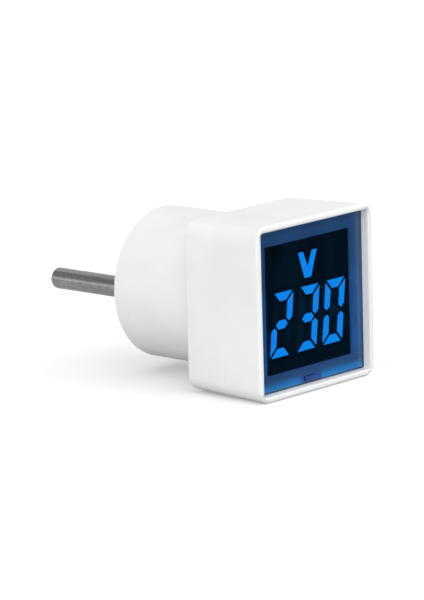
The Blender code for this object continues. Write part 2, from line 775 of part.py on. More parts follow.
def power_board(mat):
    """The supply board that lies across the plug body in two pairs of ribs."""
    top = POWER_BOARD_TOP
    board = box("power_board", (-POWER_BOARD_HALF_X, POWER_BOARD_FRONT, top - BOARD_THICKNESS),
                (POWER_BOARD_HALF_X, POWER_BOARD_BACK - GAP, top))
    holes = []
    for name in LEAD_PLACES:
        for k, (x, y) in enumerate(lead_spots(name)):
            holes.append(cylinder(f"hole_{name}_{k}", LEAD_HOLE, (x, y, top - 2 * BOARD_THICKNESS),
                                  3 * BOARD_THICKNESS, turn=ALONG_Z, sides=12))
    for i, x in enumerate(header_places()):
        holes.append(box(f"header_hole_{i}",
                         (x - LEAD_HOLE, HEADER_BEND_Y - LEAD_HOLE, top - 2 * BOARD_THICKNESS),
                         (x + LEAD_HOLE, HEADER_BEND_Y + LEAD_HOLE, top + BOARD_THICKNESS)))
    cut(board, join_meshes("power_board_holes", holes))
    return finish(board, mat)


def header_elbow(name, x, half, grow):
    """One right-angled header pin: forward through the display board, down through the other."""
    front = Y_BOARD - 0.1 * MM
    foot = POWER_BOARD_TOP - BOARD_THICKNESS - 1.5 * TAIL_BELOW_BOARD
    elbow = box(name, (x - half, front - grow, HEADER_Z - half),
                (x + half, HEADER_BEND_Y + half, HEADER_Z + half))
    leg = box(name + "_leg", (x - half, HEADER_BEND_Y - half, foot - grow),
              (x + half, HEADER_BEND_Y + half, HEADER_Z + half))
    return elbow, leg


def board_header(pin_mat, body_mat):
    """A right-angled header: the moulded strip and its pins."""
    strip_half = HEADER_WAYS / 2 * HEADER_PITCH - 0.1 * MM
    strip = box("board_header",
                (-strip_half, HEADER_BEND_Y - 0.9 * MM, POWER_BOARD_TOP + CLOSE_GAP),
                (strip_half, HEADER_BEND_Y + 1.3 * MM, HEADER_Z + 1.2 * MM))
    half = HEADER_PIN_SIZE / 2
    for i, x in enumerate(header_places()):
        pin, leg = header_elbow(f"header_pin_{i + 1}", x, half, 0.0)
        join(pin, leg)
        finish(pin, pin_mat)
        cut(strip, *header_elbow(f"header_channel_{i}", x, half + HEADER_CHANNEL_GAP, OVERCUT))
    return finish(strip, body_mat)


def radial_part(name, shape, mat, standoff=0.0):
    """A component that stands on the board: its body joined with its straight leads."""
    foot = POWER_BOARD_TOP - BOARD_THICKNESS - TAIL_BELOW_BOARD
    reach = POWER_BOARD_TOP + GAP + standoff + WELD - foot
    for k, (x, y) in enumerate(lead_spots(name)):
        join(shape, cylinder(f"{name}_lead_{k}", LEAD_RADIUS, (x, y, foot), reach, turn=ALONG_Z,
                             sides=8))
    return finish(shape, mat)


BOARD_SEAT = POWER_BOARD_TOP + GAP


def film_capacitor(mat):
    """The boxed mains dropper capacitor."""
    low = (-8.5 * MM, -16.8 * MM)
    high = (4.5 * MM, -11.8 * MM)
    height = 10.6 * MM
    film = box("x2_capacitor", (*low, BOARD_SEAT), (*high, BOARD_SEAT + height))
    soften(film, 0.4 * MM)
    radial_part("x2_capacitor", film, mat)


def can_capacitor(mat):
    """The round smoothing capacitor, with the rolled groove above its foot."""
    radius, height, edge = 2.5 * MM, 10.6 * MM, 0.3 * MM
    groove_low, groove_high, groove_depth = 1.0 * MM, 1.6 * MM, 0.25 * MM
    groove_middle = (groove_low + groove_high) / 2
    profile = [
        (0.0, height),
        (radius - edge, height),
        (radius, height - edge),
        (radius, groove_high),
        (radius - groove_depth, groove_middle),
        (radius, groove_low),
        (radius, 0.0),
        (0.0, 0.0),
    ]
    spots = lead_spots("electrolytic_capacitor")
    x = sum(spot[0] for spot in spots) / len(spots)
    y = sum(spot[1] for spot in spots) / len(spots)
    can = turned("electrolytic_capacitor", profile, (x, y, BOARD_SEAT), turn=ALONG_Z, steps=28)
    radial_part("electrolytic_capacitor", can, mat)


def rectifier_block(mat):
    """The moulded bridge rectifier."""
    low = (-6.7 * MM, -20.9 * MM)
    high = (-1.3 * MM, -17.1 * MM)
    height = 2.6 * MM
    bridge = box("bridge_rectifier", (*low, BOARD_SEAT), (*high, BOARD_SEAT + height))
    soften(bridge, 0.25 * MM)
    radial_part("bridge_rectifier", bridge, mat)


def regulator_can(mat):
    """The small voltage regulator: a D-shaped block held above the board by its three leads."""
    radius, forward = 2.3 * MM, 0.3 * MM
    standoff, height = 1.5 * MM, 4.6 * MM
    arc_start, arc_end, arc_step = -50, 230, 20
    x, y = lead_spots("voltage_regulator")[1]
    outline = []
    for degrees in range(arc_start, arc_end + 1, arc_step):
        angle = math.radians(degrees)
        outline.append((x + radius * math.cos(angle), y + forward + radius * math.sin(angle)))
    bm = bmesh.new()
    foot = BOARD_SEAT + standoff
    face = bm.faces.new([bm.verts.new((px, py, foot)) for px, py in outline])
    drawn = bmesh.ops.extrude_face_region(bm, geom=[face])
    moved = [item for item in drawn["geom"] if isinstance(item, bmesh.types.BMVert)]
    bmesh.ops.translate(bm, verts=moved, vec=(0, 0, height))
    radial_part("voltage_regulator", link_mesh("voltage_regulator", bm), mat, standoff)


def soften(ob, width):
    bevel = ob.modifiers.new("Soft edges", "BEVEL")
    bevel.width = width
    bevel.segments = 2
    bevel.limit_method = "ANGLE"


CAP_LENGTH = 1.4 * MM
CAP_ROUND = 0.4 * MM
CAP_END_INSET = 0.35 * MM
WAIST_DEPTH = 0.12 * MM
WAIST_SLOPE = 0.3 * MM
LEAD_BEND = 0.5 * MM
STANDING_CLEARANCE = 0.9 * MM
CROWN_RISE = 1.0 * MM


def axial_profile(radius, length):
    """Half outline of a two-lead body: round end caps and a slightly thinner middle."""
    end = length / 2
    upper = [
        (0.0, end),
        (radius - CAP_END_INSET, end),
        (radius, end - CAP_ROUND),
        (radius, end - CAP_LENGTH),
        (radius - WAIST_DEPTH, end - CAP_LENGTH - WAIST_SLOPE),
    ]
    return upper + [(r, -height) for r, height in reversed(upper)]


def standing_axial_part(name, radius, length, mat):
    """A two-lead component that stands on one lead, the other bent back down beside it."""
    (x0, y0), (x1, y1) = lead_spots(name)
    middle = POWER_BOARD_TOP + GAP + STANDING_CLEARANCE + length / 2
    crown = middle + length / 2 + CROWN_RISE
    foot = POWER_BOARD_TOP - BOARD_THICKNESS - TAIL_BELOW_BOARD
    body = turned(name, axial_profile(radius, length), (x0, y0, middle), turn=ALONG_Z, steps=20)
    route = [
        (x0, y0, foot),
        (x0, y0, crown - LEAD_BEND),
        (x0, (y0 + y1) / 2, crown),
        (x1, y1, crown - LEAD_BEND),
        (x1, y1, foot),
    ]
    join(body, wire(name + "_leads", route, LEAD_RADIUS, corner_turns=1))
    return finish(body, mat)


def hanging_axial_part(name, radius, length, mat):
    """A two-lead component that lies under the board, both leads bent up into it."""
    (x0, y0), (x1, y1) = lead_spots(name)
    level = POWER_BOARD_TOP - BOARD_THICKNESS - GAP - radius - LEAD_BEND
    top = POWER_BOARD_TOP + 0.1 * MM
    body = turned(name, axial_profile(radius, length), ((x0 + x1) / 2, (y0 + y1) / 2, level),
                  turn=ALONG_X, steps=20)
    route = [
        (x0, y0, top),
        (x0, y0, level + LEAD_BEND),
        (x0 + LEAD_BEND, y0, level),
        (x1 - LEAD_BEND, y1, level),
        (x1, y1, level + LEAD_BEND),
        (x1, y1, top),
    ]
    join(body, wire(name + "_leads", route, LEAD_RADIUS, corner_turns=1))
    return finish(body, mat)


def supply_wire(name, side, mat):
    """An insulated wire from a pin's tail down to the supply board."""
    x = side * PIN_SPACING / 2
    start = Y_TAIL - GAP
    route = [
        (x, start, 0.0),
        (x, start - 1.2 * MM, -0.1 * MM),
        (1.04 * x, start - 2.6 * MM, -0.9 * MM),
        (x, start - 3.3 * MM, -1.9 * MM),
    ]
    return finish(wire(name, smooth_route(route, 10), SUPPLY_WIRE_RADIUS), mat)


# ---------------------------------------------------------------- assembly


def build():
    white = make_material("white_plastic", (0.86, 0.86, 0.85), 0.32)
    smoke = make_material("blue_window", (0.03, 0.12, 0.32), 0.06, alpha=0.45)
    nickel = make_material("nickel_pin", (0.55, 0.54, 0.52), 0.28, metallic=1.0)
    steel = make_material("screw_steel", (0.62, 0.62, 0.60), 0.35, metallic=1.0)
    tinned = make_material("tinned_lead", (0.75, 0.75, 0.74), 0.3, metallic=1.0)
    black = make_material("display_black", (0.004, 0.008, 0.012), 0.25)
    blue = make_material("segment_blue", (0.0, 0.26, 1.0), 0.5, glow=1.0)
    reflector = make_material("reflector_white", (0.8, 0.8, 0.78), 0.6)
    carrier = make_material("carrier_grey", (0.35, 0.35, 0.34), 0.55)
    green = make_material("board_green", (0.02, 0.13, 0.05), 0.4)
    epoxy = make_material("epoxy_black", (0.015, 0.015, 0.016), 0.45)
    led = make_material("led_die", (0.75, 0.72, 0.35), 0.4)
    resistor = make_material("resistor_tan", (0.45, 0.33, 0.2), 0.5)
    diode = make_material("diode_glass", (0.45, 0.12, 0.05), 0.2)
    brown = make_material("wire_brown", (0.12, 0.045, 0.02), 0.4)
    wire_blue = make_material("wire_blue", (0.02, 0.1, 0.4), 0.4)
    film = make_material("capacitor_yellow", (0.75, 0.5, 0.05), 0.4)
    sleeve = make_material("capacitor_sleeve", (0.03, 0.035, 0.06), 0.3)

    head_shell(white)
    window_lens(smoke)
    rear_housing(white)
    pin_carrier(carrier)
    contact_pin("contact_pin_left", -PIN_SPACING / 2, nickel)
    contact_pin("contact_pin_right", PIN_SPACING / 2, nickel)
    for number, side in enumerate((1, -1)):
        place = (0.0, Y_CARRIER - CLOSE_GAP, side * CARRIER_SCREW_OFFSET)
        self_tapping_screw(f"carrier_screw_{number + 1}", place, head_radius=2.2 * MM,
                           head_height=1.5 * MM, shank_radius=1.05 * MM, shank_length=7.2 * MM,
                           mat=steel, outward=1)

    display_mask(black)
    segment_diffuser(blue)
    display_reflector(reflector)
    display_board(green)
    led_chips(led)
    for number, (x, z) in enumerate(corner_places(BOARD_SCREW_OFFSET)):
        place = (x, Y_BOARD_BACK + CLOSE_GAP, z)
        self_tapping_screw(f"board_screw_{number + 1}", place, head_radius=1.4 * MM,
                           head_height=1.1 * MM, shank_radius=0.75 * MM, shank_length=5.6 * MM,
                           mat=steel, outward=-1)

    microcontroller(epoxy)
    power_board(green)
    board_header(tinned, epoxy)
    film_capacitor(film)
    can_capacitor(sleeve)
    rectifier_block(epoxy)
    regulator_can(epoxy)
    standing_axial_part("fusible_resistor", radius=1.75 * MM, length=7.0 * MM, mat=resistor)
    hanging_axial_part("zener_diode", radius=1.2 * MM, length=4.8 * MM, mat=diode)
    hanging_axial_part("bleed_resistor", radius=1.15 * MM, length=6.3 * MM, mat=resistor)
    supply_wire("live_wire", 1, brown)
    supply_wire("neutral_wire", -1, wire_blue)


clear_scene()
PARTS = new_collection("outlet_tester_plug")
TOOLS = new_collection("shaping_tools")
ASSEMBLY = bpy.data.objects.new("plug_assembly", None)
PARTS.objects.link(ASSEMBLY)
build()
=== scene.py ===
"""Looks for the outlet tester plug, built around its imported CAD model.

The origin is the centre of the plug body's rear face. The display faces -Y, the pins point
along +Y and +Z is up. Lengths are in metres.
"""

import json
import math

import bmesh
import bpy
from mathutils import Matrix, Vector


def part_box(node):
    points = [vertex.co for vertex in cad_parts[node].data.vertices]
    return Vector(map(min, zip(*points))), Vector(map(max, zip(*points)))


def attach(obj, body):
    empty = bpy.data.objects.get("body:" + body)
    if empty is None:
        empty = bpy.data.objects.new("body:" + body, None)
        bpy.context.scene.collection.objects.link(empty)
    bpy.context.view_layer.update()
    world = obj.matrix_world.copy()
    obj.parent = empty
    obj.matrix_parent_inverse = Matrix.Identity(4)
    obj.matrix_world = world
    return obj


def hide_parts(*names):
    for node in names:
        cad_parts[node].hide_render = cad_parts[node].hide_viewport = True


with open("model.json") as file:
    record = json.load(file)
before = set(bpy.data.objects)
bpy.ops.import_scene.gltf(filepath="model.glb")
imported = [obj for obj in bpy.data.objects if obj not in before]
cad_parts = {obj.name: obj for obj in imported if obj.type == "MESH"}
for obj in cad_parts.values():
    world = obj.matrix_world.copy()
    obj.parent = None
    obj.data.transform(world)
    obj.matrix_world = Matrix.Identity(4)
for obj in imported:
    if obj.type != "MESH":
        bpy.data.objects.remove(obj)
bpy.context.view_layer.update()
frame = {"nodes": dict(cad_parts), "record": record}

MM = 0.001
BODY = "root"

# ---------------------------------------------------------------- sizes read from the frame

HEAD_LOW, HEAD_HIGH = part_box("head_shell")
_, PLUG_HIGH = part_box("rear_housing")
LENS_LOW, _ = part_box("window_lens")
FACE_LOW, FACE_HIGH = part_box("display_mask")
_, GUIDE_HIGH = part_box("segment_diffuser")
PIN_LOW, PIN_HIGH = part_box("contact_pin_left")
BOARD_LOW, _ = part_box("display_board")
SUPPLY_LOW, SUPPLY_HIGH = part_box("power_board")

FLANGE_THICKNESS = 2.0 * MM

Y_FRONT = HEAD_LOW.y
Y_HEAD_BACK = HEAD_HIGH.y
Y_FLANGE = Y_HEAD_BACK - FLANGE_THICKNESS
Y_LENS = LENS_LOW.y
Y_FACE = FACE_LOW.y
PIN_X = abs((PIN_LOW.x + PIN_HIGH.x) / 2)

# ---------------------------------------------------------------- sizes of the fine forms

HEAD_HALF_FRONT = 16.2 * MM
HEAD_HALF_BACK = 15.7 * MM
HEAD_CORNER = 2.7 * MM
RIM_ROUND = 0.55 * MM
BACK_ROUND = 0.5 * MM
EDGE_BREAK = 0.06 * MM
OPENING_ROUND = 0.38 * MM

WINDOW_HALF = 15.0 * MM
LEDGE_HALF = 12.5 * MM
LEDGE_THICKNESS = 1.4 * MM
CAVITY_HALF = 13.8 * MM
SEAT_HALF = 14.7 * MM
FLANGE_HALF = 14.45 * MM

PLUG_RADIUS = 14.25 * MM
PLUG_BORE = 12.4 * MM
PLUG_EDGE = 0.25 * MM
REAR_WALL = 2.2 * MM

LENS_HALF = 14.95 * MM
LENS_THICKNESS = 0.7 * MM
LENS_EDGE = 0.06 * MM
LENS_INSET = 14.75 * MM

TONGUE_LEFT = -1.4 * MM
TONGUE_RIGHT = 1.1 * MM
TONGUE_INNER = 13.75 * MM
TONGUE_OUTER = 14.5 * MM
TONGUE_REACH = 2.9 * MM
TONGUE_END = Y_FACE + TONGUE_REACH
BARB_START = 1.0 * MM
BARB_STOP = 0.2 * MM
BARB_DEPTH = 0.75 * MM
NOTCH_GAP = 0.12 * MM

GUIDE_PLATE = 0.4 * MM
GUIDE_RIM_HALF = 12.47 * MM
SEGMENT_SUNK = 0.02 * MM
SEGMENT_BACK_GAP = 0.2 * MM
FIT = 0.03 * MM

PIN_RADIUS = 2.0 * MM
PIN_FIT = 0.15 * MM
PIN_RINGS = 8
PIN_SIDES = 72
PIN_TIP_STEPS = 8
PIN_TIP_ROUND = 0.7 * MM
SHOULDER_Y = -4.0 * MM
SHOULDER_RADIUS = 2.9 * MM
SHOULDER_THICKNESS = 1.2 * MM
TAIL_RADIUS = 1.2 * MM
TAIL_CHAMFER = 0.2 * MM

# ---------------------------------------------------------------- inner features of the housings

GAP = 0.3 * MM
WELD = 0.5 * MM
OVERCUT = 1.0 * MM
FLANGE_INSET = 0.02 * MM
SEAT_CORNER = 1.0 * MM
CAVITY_CORNER = 0.8 * MM
INNER_CORNER = 0.25 * MM
PLUG_RINGS = 8
PLUG_SIDES = 144
PLUG_EDGE_STEPS = 4
BORE_SIDES = 96
PIN_HOLE_SIDES = 64

BOARD_BOSS_RADIUS = 1.75 * MM
BOARD_PILOT_RADIUS = 1.0 * MM
BOARD_PILOT_DEPTH = 5.2 * MM

ARM_HALF_WIDTH = 4.0 * MM
ARM_INNER = 12.6 * MM
ARM_OUTER = 13.5 * MM
ARM_TIP = -24.7 * MM
ARM_BARB_OUTER = 14.25 * MM
ARM_BARB_BACK = -23.2 * MM

COLLAR_RADIUS = 3.2 * MM
COLLAR_HEIGHT = 1.5 * MM
CARRIER_SCREW_OFFSET = 7.5 * MM
BOSS_RADIUS = 2.3 * MM
BOSS_HEIGHT = 3.0 * MM
BOSS_PILOT_RADIUS = 1.3 * MM
BOSS_PILOT_EXTRA = 1.2 * MM
RIB_INNER = 9.7 * MM
RIB_OVER_OUTER = 13.0 * MM
RIB_UNDER_OUTER = 12.0 * MM
RIB_THICKNESS = 1.0 * MM
RIB_FRONT = -19.0 * MM

# ---------------------------------------------------------------- display graphics

DIGIT_PITCH = 7.33 * MM
DIGIT_CENTRE = Vector((-0.07 * MM, -2.96 * MM))
DIGIT_HALF_WIDTH = 2.82 * MM
DIGIT_HALF_HEIGHT = 5.91 * MM
STROKE = 1.6 * MM
SLANT = 0.113
MITRE_GAP = 0.36 * MM
TIP_RISE = 0.38 * MM
TIP_SLOPE = 0.64 * MM
READING = (("hundreds", "abged"), ("tens", "abgcd"), ("ones", "abcdef"))

UNIT_CENTRE_X = 0.16 * MM
UNIT_TOP = 9.37 * MM
UNIT_BOTTOM = 4.47 * MM
UNIT_HALF_TOP = 2.64 * MM
UNIT_HALF_FOOT = 0.95 * MM
UNIT_STROKE = 1.44 * MM
UNIT_NOTCH = 6.5 * MM

POINT_CENTRE = Vector((2.93 * MM, -9.3 * MM))
POINT_RADIUS = 0.55 * MM
POINT_SIDES = 24

# ---------------------------------------------------------------- window tint with painted light and shade, in object space

# The border's blue is graded up its height to paint in light and shade: brightest low down, dimmer
# towards the top.
BORDER_SPAN = (-13.0 * MM, 13.5 * MM)
BORDER_TINTS_AND_PAINTED_SHADE = (
    # share of the way up the border, colour
    (0.0, (0.24, 0.36, 0.56)),
    (0.13, (0.17, 0.44, 0.80)),
    (0.49, (0.19, 0.40, 0.70)),
    (0.83, (0.18, 0.36, 0.58)),
    (1.0, (0.23, 0.40, 0.64)),
)
# painted light: the lowest strip of the border is a brighter blue, except over the tongue
LOWER_PAINTED_LIGHT_SPAN = (-14.1 * MM, -12.9 * MM)
LOWER_PAINTED_LIGHT = (0.20, 0.62, 1.0)
TONGUE_SPAN = (-2.7 * MM, 3.0 * MM)
TONGUE_TINT = (0.24, 0.34, 0.68)
TONGUE_SOFT = 0.25 * MM
FACE_TINT = (0.18, 0.25, 0.38)
FACE_SOFT = 0.05 * MM
SMOKE_TINT = (0.10, 0.20, 0.35)
# painted shade: a dark line round the window's edge, where the gap round it lies in shade
EDGE_PAINTED_SHADE = (0.10, 0.11, 0.16)
EDGE_SOFT = 0.12 * MM
LAMP_TINT = (0.50, 0.76, 1.0)

# ---------------------------------------------------------------- camera

CAMERA_AZIMUTH = math.radians(-48.147)
CAMERA_ELEVATION = math.radians(11.622)
CAMERA_ROLL = math.radians(-1.592)
CAMERA_DISTANCE = 743.4 * MM
CAMERA_AIM = Vector((0.17, -11.44, -2.49)) * MM
CAMERA_LENS = 240.0

# ---------------------------------------------------------------- light

LIGHT_AIM = Vector((0.0, -12.0 * MM, 0.0))
LIGHTS = (
    # name, azimuth, elevation, size, watts, whether it also lights matt surfaces
    ("left_softbox", -80, 10, 0.5, 2.4, True),
    ("right_softbox", 90, 60, 0.5, 1.1, True),
    ("top_softbox", 0, 62, 0.5, 0.65, True),
    ("back_reflector", 148, 37, 0.9, 1.0, False),
)
WORLD_STRENGTH = 0.34
FLOOR_REACH = 6.0
FLOOR_CLEARANCE = 0.05 * MM
WORLD_GLOWS = (
    # axis of the direction, where the glow starts, where it is full, strength
    ("Y", 0.35, -0.15, 0.77),
    ("Z", 0.32, 0.14, 0.90),
)
FLOOR_BOUNCE = (0.5, 0.5, 0.5)
FLOOR_GLOW = 0.2
# painted reflection: how much the floor glows for mirror-like surfaces only
FLOOR_REFLECTED_GLOW = 0.2
CARD = (("X", -30 * MM, 170 * MM), ("Y", -190 * MM, -37 * MM))
CARD_SOFT = 4 * MM


# ---------------------------------------------------------------- mesh helpers

SHARP_ANGLE = math.radians(30.0)
ON_AXIS = 1e-9


def link(name, bm):
    """A finished bmesh as a smooth-shaded object with its hard edges kept."""
    bmesh.ops.recalc_face_normals(bm, faces=bm.faces)
    mesh = bpy.data.meshes.new(name)
    bm.to_mesh(mesh)
    bm.free()
    mesh.shade_smooth()
    mesh.set_sharp_from_angle(angle=SHARP_ANGLE)
    ob = bpy.data.objects.new(name, mesh)
    bpy.context.scene.collection.objects.link(ob)
    return ob


def rounded_square(half, radius, corner_steps=12, side_steps=6):
    """Points in X and Z round a square with round corners, the same count for every size."""
    points = []
    centres = ((1, 1, 0), (-1, 1, 90), (-1, -1, 180), (1, -1, 270))
    flat = half - radius
    for sx, sz, start in centres:
        for i in range(corner_steps + 1):
            angle = math.radians(start + 90.0 * i / corner_steps)
            points.append((sx * flat + radius * math.cos(angle),
                           sz * flat + radius * math.sin(angle)))
        end = points[-1]
        along = (-2 * flat * (sx if start in (0, 180) else 0),
                 -2 * flat * (sz if start in (90, 270) else 0))
        for i in range(1, side_steps):
            share = i / side_steps
            points.append((end[0] + along[0] * share, end[1] + along[1] * share))
    return points


def swept_square(name, profile, closed):
    """A form whose section runs through rings of (half width, corner radius, y)."""
    bm = bmesh.new()
    rings = []
    for half, radius, y in profile:
        rings.append([bm.verts.new((x, y, z)) for x, z in rounded_square(half, radius)])
    count = len(rings[0])
    pairs = list(zip(rings, rings[1:]))
    if closed:
        pairs.append((rings[-1], rings[0]))
    for low, high in pairs:
        for i in range(count):
            k = (i + 1) % count
            bm.faces.new((low[i], low[k], high[k], high[i]))
    if not closed:
        bm.faces.new(rings[0])
        bm.faces.new(rings[-1])
    return link(name, bm)


def quarter_round(half, radius, y, size, steps, toward_front, inward=False):
    """Rings of a soft edge between a flat end face and a side wall, or an opening's wall."""
    rings = []
    for i in range(steps + 1):
        angle = math.radians(90.0 * i / steps)
        inset = size * (1 - math.sin(angle))
        depth = size * (1 - math.cos(angle))
        y_ring = y + (depth if toward_front else -depth)
        if inward:
            rings.append((half + inset, radius, y_ring))
        else:
            rings.append((half - inset, max(radius - inset, FIT), y_ring))
    return rings


def turned(name, profile, place, steps):
    """A solid of revolution round an axis along Y, from (radius, y) points."""
    bm = bmesh.new()
    rings = []
    for radius, y in profile:
        if radius < ON_AXIS:
            rings.append([bm.verts.new((0.0, y, 0.0))])
            continue
        ring = []
        for i in range(steps):
            angle = 2 * math.pi * i / steps
            ring.append(bm.verts.new((radius * math.cos(angle), y, radius * math.sin(angle))))
        rings.append(ring)
    for low, high in zip(rings, rings[1:]):
        for i in range(steps):
            k = (i + 1) % steps
            corners = (low[i % len(low)], low[k % len(low)],
                       high[k % len(high)], high[i % len(high)])
            bm.faces.new(list(dict.fromkeys(corners)))
    bmesh.ops.translate(bm, verts=bm.verts, vec=place)
    return link(name, bm)


def prism(name, outlines, y_front, y_back):
    """One object from several flat outlines in X and Z, drawn out along Y."""
    bm = bmesh.new()
    for outline in outlines:
        loop = [bm.verts.new((x, y_front, z)) for x, z in outline]
        face = bm.faces.new(loop)
        drawn = bmesh.ops.extrude_face_region(bm, geom=[face])
        moved = [item for item in drawn["geom"] if isinstance(item, bmesh.types.BMVert)]
        bmesh.ops.translate(bm, verts=moved, vec=(0, y_back - y_front, 0))
    return link(name, bm)


def corner_arc(radius, end, size, steps):
    """Profile points of the round edge between a turned side and its end face."""
    points = []
    for i in range(1, steps + 1):
        angle = math.radians(90.0 * i / steps)
        points.append((radius - size * (1 - math.cos(angle)), end - size * (1 - math.sin(angle))))
    return points


def rod(name, radius, start, end, place=(0, 0, 0), sides=40):
    """A round tool along Y, for carving."""
    x, _, z = place
    return turned(name, [(0.0, start), (radius, start), (radius, end), (0.0, end)], (x, 0, z), sides)


def span(side, inner, outer):
    """The low and high end of a block that lies to one side of the middle."""
    return sorted((side * inner, side * outer))


def block(name, low, high):
    """A plain tool block between two corners, for carving."""
    x0, y0, z0 = low
    x1, y1, z1 = high
    return prism(name, [[(x0, z0), (x1, z0), (x1, z1), (x0, z1)]], y0, y1)


def carve(ob, tools, operation="DIFFERENCE"):
    """Cut or join tools with an object for good, then drop them."""
    for tool in tools:
        change = ob.modifiers.new("Carve", "BOOLEAN")
        change.operation = operation
        change.solver = "EXACT"
        change.object = tool
    graph = bpy.context.evaluated_depsgraph_get()
    shaped = bpy.data.meshes.new_from_object(ob.evaluated_get(graph))
    ob.modifiers.clear()
    ob.data = shaped
    for tool in tools:
        bpy.data.objects.remove(tool, do_unlink=True)
    return ob


def settle_normals(ob):
    """Keep flat faces flat and round ones round where they share an edge."""
    ob.data.shade_smooth()
    ob.data.set_sharp_from_angle(angle=SHARP_ANGLE)
    weight = ob.modifiers.new("Even normals", "WEIGHTED_NORMAL")
    weight.keep_sharp = True
    weight.weight = 50
    return ob


# ---------------------------------------------------------------- material helpers


class Shader:
    """A Principled material with a few short ways to add procedural detail."""

    def __init__(self, name, **values):
        self.mat = bpy.data.materials.new(name)
        self.mat.use_nodes = True
        self.tree = self.mat.node_tree
        self.surface = self.tree.nodes["Principled BSDF"]
        for key, value in values.items():
            self.surface.inputs[key.replace("_", " ")].default_value = value
        self.place = self.tree.nodes.new("ShaderNodeTexCoord").outputs["Object"]

    def add(self, kind, **settings):
        node = self.tree.nodes.new("ShaderNode" + kind)
        for key, value in settings.items():
            setattr(node, key, value)
        return node

    def wire(self, source, target):
        self.tree.links.new(source, target)

    def stretched(self, scale):
        mapping = self.add("Mapping")
        mapping.inputs["Scale"].default_value = scale
        self.wire(self.place, mapping.inputs["Vector"])
        return mapping.outputs["Vector"]

    def noise(self, scale, detail=3.0, roughness=0.5, stretch=None):
        node = self.add("TexNoise")
        node.inputs["Scale"].default_value = scale
        node.inputs["Detail"].default_value = detail
        node.inputs["Roughness"].default_value = roughness
        self.wire(self.stretched(stretch) if stretch else self.place, node.inputs["Vector"])
        return node.outputs["Fac"]

    def ramp(self, source, stops):
        node = self.add("ValToRGB")
        while len(node.color_ramp.elements) < len(stops):
            node.color_ramp.elements.new(0.5)
        for element, (at, colour) in zip(node.color_ramp.elements, stops):
            element.position = at
            element.color = (*colour, 1.0)
        self.wire(source, node.inputs["Fac"])
        return node.outputs["Color"]

    def spread(self, source, low, high, from_low=0.3, from_high=0.7):
        node = self.add("MapRange")
        node.inputs["From Min"].default_value = from_low
        node.inputs["From Max"].default_value = from_high
        node.inputs["To Min"].default_value = low
        node.inputs["To Max"].default_value = high
        self.wire(source, node.inputs["Value"])
        return node.outputs["Result"]

    def product(self, first, second):
        node = self.add("Math", operation="MULTIPLY")
        self.wire(first, node.inputs[0])
        self.wire(second, node.inputs[1])
        return node.outputs[0]

    def band(self, source, low, high, soft):
        """1 between two values and 0 outside them, with a soft step at each end."""
        rise = self.spread(source, 0.0, 1.0, low - soft, low + soft)
        fall = self.spread(source, 1.0, 0.0, high - soft, high + soft)
        return self.product(rise, fall)

    def blend(self, factor, first, second):
        node = self.add("Mix", data_type="RGBA")
        for socket, value in ((node.inputs[0], factor), (node.inputs[6], first),
                              (node.inputs[7], second)):
            if hasattr(value, "links"):
                self.wire(value, socket)
            else:
                socket.default_value = value if isinstance(value, float) else (*value, 1.0)
        return node.outputs[2]

    def bump(self, *layers):
        normal = None
        for height, strength, distance in layers:
            node = self.add("Bump")
            node.inputs["Strength"].default_value = strength
            node.inputs["Distance"].default_value = distance
            self.wire(height, node.inputs["Height"])
            if normal is not None:
                self.wire(normal, node.inputs["Normal"])
            normal = node.outputs["Normal"]
        self.wire(normal, self.surface.inputs["Normal"])

    def set(self, name, source):
        self.wire(source, self.surface.inputs[name])

    def let_lamps_through(self, colour):
        """Lamps and the room shine through each face with this tint."""
        clear = self.add("BsdfTransparent")
        clear.inputs["Color"].default_value = (*colour, 1.0)
        mix = self.add("MixShader")
        self.wire(self.add("LightPath").outputs["Is Shadow Ray"], mix.inputs["Fac"])
        self.wire(self.surface.outputs["BSDF"], mix.inputs[1])
        self.wire(clear.outputs["BSDF"], mix.inputs[2])
        self.wire(mix.outputs["Shader"], self.tree.nodes["Material Output"].inputs["Surface"])


def moulded_plastic(name, colour, roughness, specks=True):
    """Satin injection-moulded plastic: fine grain, soft unevenness and a few dust specks."""
    variation = 0.03
    s = Shader(name, Specular_IOR_Level=0.5)
    tone = s.noise(70.0, detail=4.0)
    pale = tuple(min(c * (1 + variation), 1.0) for c in colour)
    dull = tuple(c * (1 - variation) for c in colour)
    base = s.ramp(tone, [(0.35, dull), (0.65, pale)])
    if specks:
        dust = s.noise(1150.0, detail=2.0, roughness=0.6)
        spot = s.spread(dust, 0.0, 0.35, 0.735, 0.80)
        grime = tuple(c * 0.45 for c in colour)
        base = s.blend(spot, base, grime)
    s.set("Base Color", base)
    s.set("Roughness", s.spread(s.noise(420.0), roughness - 0.05, roughness + 0.07))
    s.bump((s.noise(2600.0, detail=3.0, roughness=0.6), 0.10, 0.03 * MM),
           (s.noise(55.0, detail=2.0), 0.10, 0.2 * MM))
    return s.mat


def nickel(name):
    """Drawn nickel-plated pin: lengthwise streaks, mottled tarnish and rub marks."""
    s = Shader(name, Metallic=1.0, Specular_IOR_Level=0.5)
    streaks = s.noise(1.0, detail=5.0, roughness=0.65, stretch=(2300.0, 90.0, 2300.0))
    mottle = s.noise(2400.0, detail=4.0, roughness=0.7, stretch=(1.0, 0.5, 1.0))
    base = s.ramp(streaks, [(0.3, (0.30, 0.298, 0.295)), (0.7, (0.43, 0.427, 0.42))])
    worn = s.spread(mottle, 0.0, 0.65, 0.48, 0.66)
    base = s.blend(worn, base, (0.17, 0.168, 0.165))
    s.set("Base Color", base)
    s.set("Roughness", s.spread(mottle, 0.22, 0.36))
    s.bump((streaks, 0.12, 0.04 * MM), (mottle, 0.10, 0.02 * MM))
    return s.mat


def metal(name, colour, roughness):
    """Small metal parts: plating with fine uneven grain."""
    s = Shader(name, Metallic=1.0)
    grain = s.noise(1800.0, detail=4.0)
    dull = tuple(c * 0.82 for c in colour)
    s.set("Base Color", s.ramp(grain, [(0.35, dull), (0.65, colour)]))
    s.set("Roughness", s.spread(grain, roughness - 0.08, roughness + 0.1))
    s.bump((grain, 0.15, 0.02 * MM))
    return s.mat


